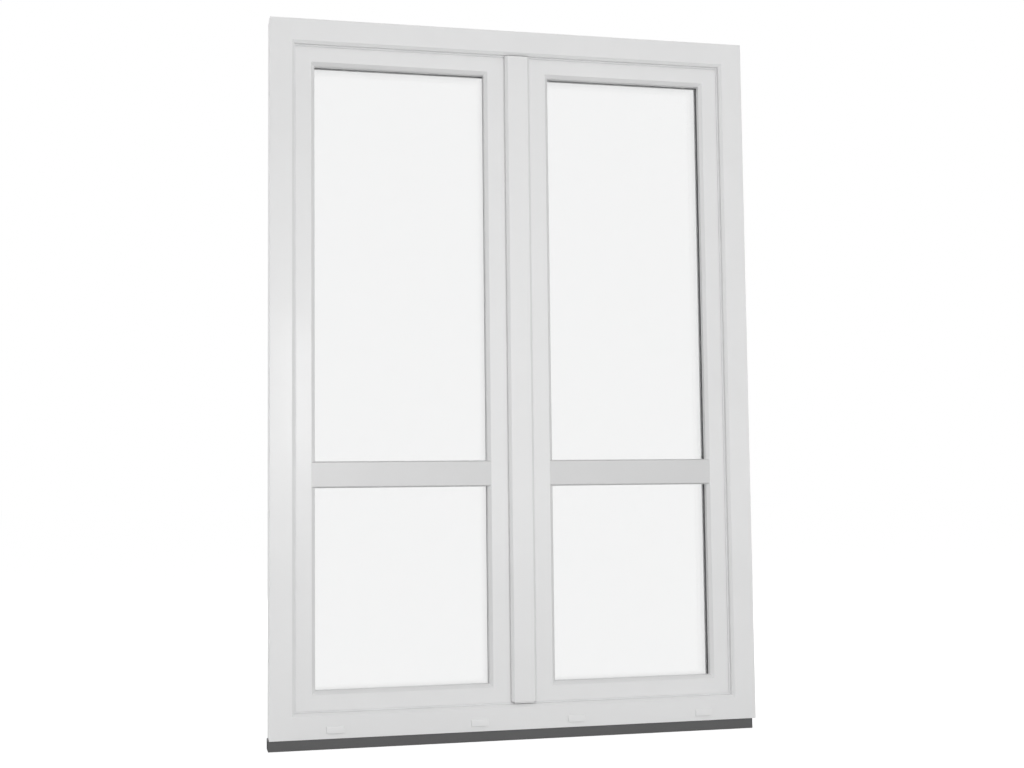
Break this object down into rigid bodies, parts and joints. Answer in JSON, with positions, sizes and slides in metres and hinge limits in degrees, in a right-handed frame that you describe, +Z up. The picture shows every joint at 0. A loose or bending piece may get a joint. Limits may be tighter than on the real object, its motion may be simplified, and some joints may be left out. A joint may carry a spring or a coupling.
{
  "type": "double casement window",
  "caption": "White two-leaf casement window with a floating mullion, a cross bar in each leaf, insulating glass, drainage caps and a dark base profile; both leaves swing into the room.",
  "frame": {"origin": "underside of the base profile, at the middle of the width and of the frame's depth", "axes": "+X to the right seen from outside, +Y from outside into the room, +Z up"},
  "size_m": [1.453, 0.1485, 2.1],
  "materials": {
    "white_pvc": "white uPVC, satin gloss",
    "cross_bar": "white uPVC, satin gloss",
    "base": "dark grey recycled uPVC, matt",
    "seal": "grey weather seal, matt",
    "glass": "clear triple glazing",
    "spacer": "dark warm-edge spacer, matt",
    "block": "moulded plastic, matt",
    "steel": "zinc-plated steel",
    "zinc": "satin silver hardware",
    "hardware_white": "white powder coat, satin"
  },
  "bodies": {
    "frame": {"frame_head": "white_pvc", "frame_sill": "white_pvc", "frame_left_jamb": "white_pvc", "frame_right_jamb": "white_pvc", "frame_steel": "steel", "frame_seal": "seal", "base_profile": "base", "drain_caps": "white_pvc", "left_upper_hinge_base": "hardware_white", "left_lower_hinge_base": "hardware_white", "right_upper_hinge_base": "hardware_white", "right_lower_hinge_base": "hardware_white", "hinge_pins": "steel", "bolt_keeps": "zinc"},
    "active_leaf": {"active_foot_rail": "white_pvc", "active_head_rail": "white_pvc", "active_hinge_stile": "white_pvc", "active_lock_stile": "white_pvc", "active_cross_bar": "cross_bar", "active_steel": "steel", "active_upper_glass": "glass", "active_lower_glass": "glass", "active_spacers": "spacer", "active_beads": "white_pvc", "active_glass_seals": "seal", "active_overlap_seal": "seal", "active_setting_blocks": "block", "active_upper_hinge_leaf": "hardware_white", "active_lower_hinge_leaf": "hardware_white", "lock_faceplate": "zinc", "lock_case": "steel", "handle_rose": "hardware_white", "rose_screws": "steel"},
    "passive_leaf": {"passive_foot_rail": "white_pvc", "passive_head_rail": "white_pvc", "passive_hinge_stile": "white_pvc", "passive_meeting_stile": "white_pvc", "passive_cross_bar": "cross_bar", "passive_steel": "steel", "passive_upper_glass": "glass", "passive_lower_glass": "glass", "passive_spacers": "spacer", "passive_beads": "white_pvc", "passive_glass_seals": "seal", "passive_overlap_seal": "seal", "passive_setting_blocks": "block", "passive_upper_hinge_leaf": "hardware_white", "passive_lower_hinge_leaf": "hardware_white", "meeting_mullion": "white_pvc", "mullion_end_caps": "white_pvc", "mullion_seals": "seal", "lock_keeps": "zinc", "bolt_guides": "zinc"},
    "handle": {"handle_lever": "hardware_white", "handle_spindle": "steel", "lock_pinion": "steel"},
    "lock_bar": {"lock_rail": "zinc", "lock_cams": "steel"},
    "top_bolt": {"upper_bolt": "steel"},
    "bottom_bolt": {"lower_bolt": "steel"}
  },
  "joints": [
    {"name": "active_swing", "type": "hinge", "parent": "frame", "child": "active_leaf", "pos_m": [-0.691, 0.056, 1], "axis": [0, 0, 1], "range_deg": [0, 100]},
    {"name": "passive_swing", "type": "hinge", "parent": "frame", "child": "passive_leaf", "pos_m": [0.691, 0.056, 1], "axis": [0, 0, -1], "range_deg": [0, 85]},
    {"name": "handle_turn", "type": "hinge", "parent": "active_leaf", "child": "handle", "pos_m": [-0.0445, 0.063, 0.7735], "axis": [0, -1, 0], "range_deg": [0, 90]},
    {"name": "lock_bar_slide", "type": "slide", "parent": "active_leaf", "child": "lock_bar", "axis": [0, 0, 1], "range_m": [0, 0.018]},
    {"name": "top_bolt_slide", "type": "slide", "parent": "passive_leaf", "child": "top_bolt", "axis": [0, 0, 1], "range_m": [0, 0.025]},
    {"name": "bottom_bolt_slide", "type": "slide", "parent": "passive_leaf", "child": "bottom_bolt", "axis": [0, 0, -1], "range_m": [0, 0.025]}
  ],
  "couplings": [
    {"joint": "passive_swing", "follows": "active_swing", "ratio": 0.85},
    {"joint": "lock_bar_slide", "follows": "handle_turn", "m_per_rad": 0.011459}
  ]
}
